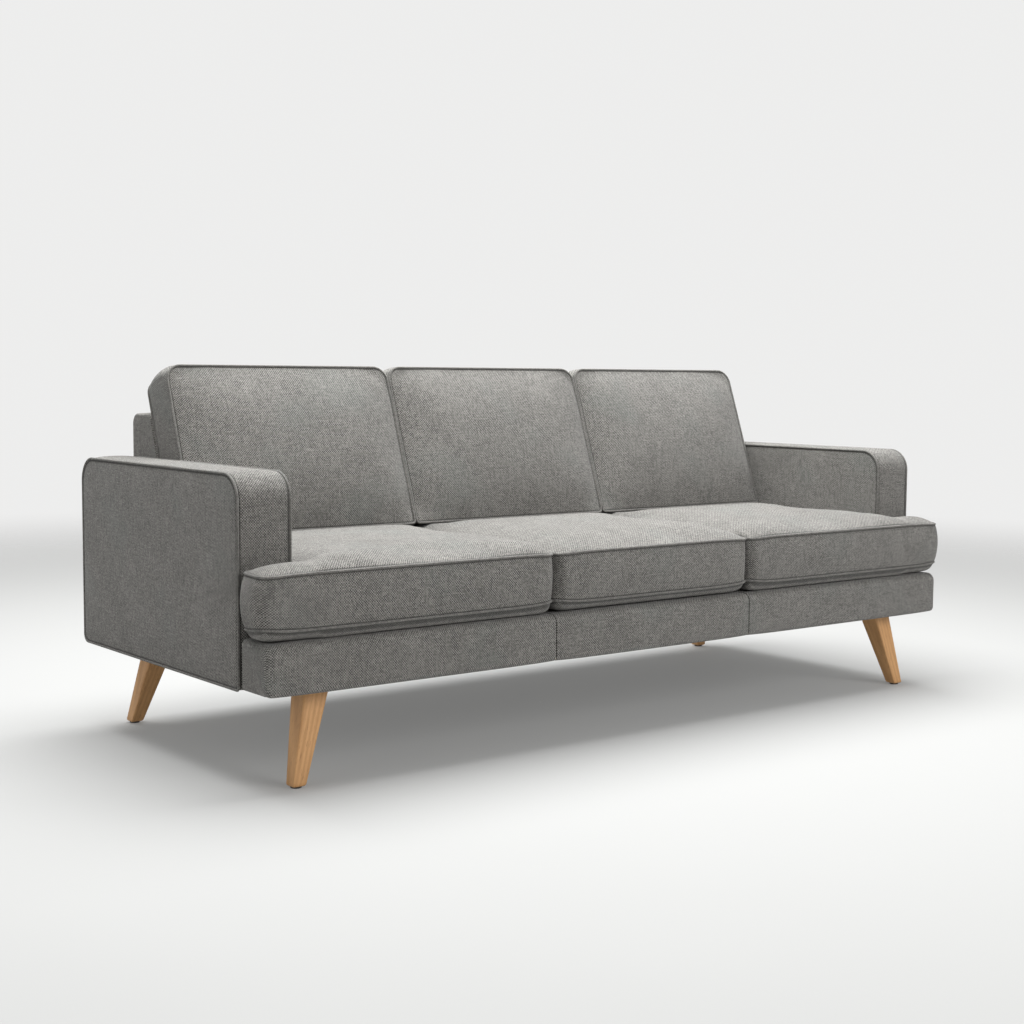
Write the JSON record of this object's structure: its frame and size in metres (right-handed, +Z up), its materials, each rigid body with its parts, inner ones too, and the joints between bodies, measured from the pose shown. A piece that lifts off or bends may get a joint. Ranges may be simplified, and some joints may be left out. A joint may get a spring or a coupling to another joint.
{
  "type": "sofa",
  "caption": "Long upholstered sofa with track arms, loose seat and back cushions, full-width front rail and splayed wooden legs.",
  "frame": {"origin": "on the floor, under the middle of the sofa's width and depth", "axes": "+X along the sofa's width, to the right as seen from the front; +Y from the front rail to the back; +Z up"},
  "size_m": [2.12, 0.888, 0.8702],
  "materials": {
    "upholstery": "matte",
    "cushion_fabric": "matte",
    "oak": "satin",
    "beech": "matte",
    "plywood": "matte",
    "foam": "matte",
    "fibre": "matte",
    "felt": "matte",
    "black_cloth": "matte",
    "webbing": "matte",
    "zinc_steel": "satin",
    "spring_steel": "satin",
    "glide_plastic": "matte"
  },
  "bodies": {
    "frame": {"leg_front_left": "oak", "leg_front_right": "oak", "leg_rear_left": "oak", "leg_rear_right": "oak", "leg_glides": "glide_plastic", "leg_plates": "zinc_steel", "plate_screws": "zinc_steel", "hanger_bolts": "zinc_steel", "leg_blocks": "beech", "front_rail_board": "beech", "front_rail_ends": "beech", "rear_rail_board": "beech", "side_rail_left": "beech", "side_rail_right": "beech", "front_spring_rail": "beech", "rear_spring_rail": "beech", "cross_rails": "beech", "seat_springs": "spring_steel", "spring_clips": "zinc_steel", "deck_cloth": "black_cloth", "deck_pad": "felt", "dust_cover": "black_cloth", "front_rail_foam": "foam", "front_rail_cover": "upholstery", "arm_cover_left": "upholstery", "arm_foam_left": "foam", "arm_panels_left": "plywood", "arm_frame_left": "beech", "arm_cover_right": "upholstery", "arm_foam_right": "foam", "arm_panels_right": "plywood", "arm_frame_right": "beech", "arm_bolts": "zinc_steel", "arm_washers": "zinc_steel", "back_cover": "upholstery", "back_foam": "foam", "back_posts": "beech", "back_rails": "beech", "back_webbing": "webbing"},
    "seat_cushion_left": {"seat_cushion_cover_left": "cushion_fabric", "seat_cushion_core_left": "foam"},
    "seat_cushion_middle": {"seat_cushion_cover_middle": "cushion_fabric", "seat_cushion_core_middle": "foam"},
    "seat_cushion_right": {"seat_cushion_cover_right": "cushion_fabric", "seat_cushion_core_right": "foam"},
    "back_cushion_left": {"back_cushion_cover_left": "cushion_fabric", "back_cushion_filling_left": "fibre"},
    "back_cushion_middle": {"back_cushion_cover_middle": "cushion_fabric", "back_cushion_filling_middle": "fibre"},
    "back_cushion_right": {"back_cushion_cover_right": "cushion_fabric", "back_cushion_filling_right": "fibre"}
  },
  "joints": [
    {"name": "seat_left_pull", "type": "slide", "parent": "frame", "child": "seat_cushion_left", "axis": [0, -1, 0], "range_m": [0, 0.68]},
    {"name": "seat_middle_pull", "type": "slide", "parent": "frame", "child": "seat_cushion_middle", "axis": [0, -1, 0], "range_m": [0, 0.68]},
    {"name": "seat_right_pull", "type": "slide", "parent": "frame", "child": "seat_cushion_right", "axis": [0, -1, 0], "range_m": [0, 0.68]},
    {"name": "back_left_lift", "type": "slide", "parent": "frame", "child": "back_cushion_left", "axis": [0, 0.3387, 0.9409], "range_m": [0, 0.32]},
    {"name": "back_middle_lift", "type": "slide", "parent": "frame", "child": "back_cushion_middle", "axis": [0, 0.3387, 0.9409], "range_m": [0, 0.32]},
    {"name": "back_right_lift", "type": "slide", "parent": "frame", "child": "back_cushion_right", "axis": [0, 0.3387, 0.9409], "range_m": [0, 0.32]}
  ]
}
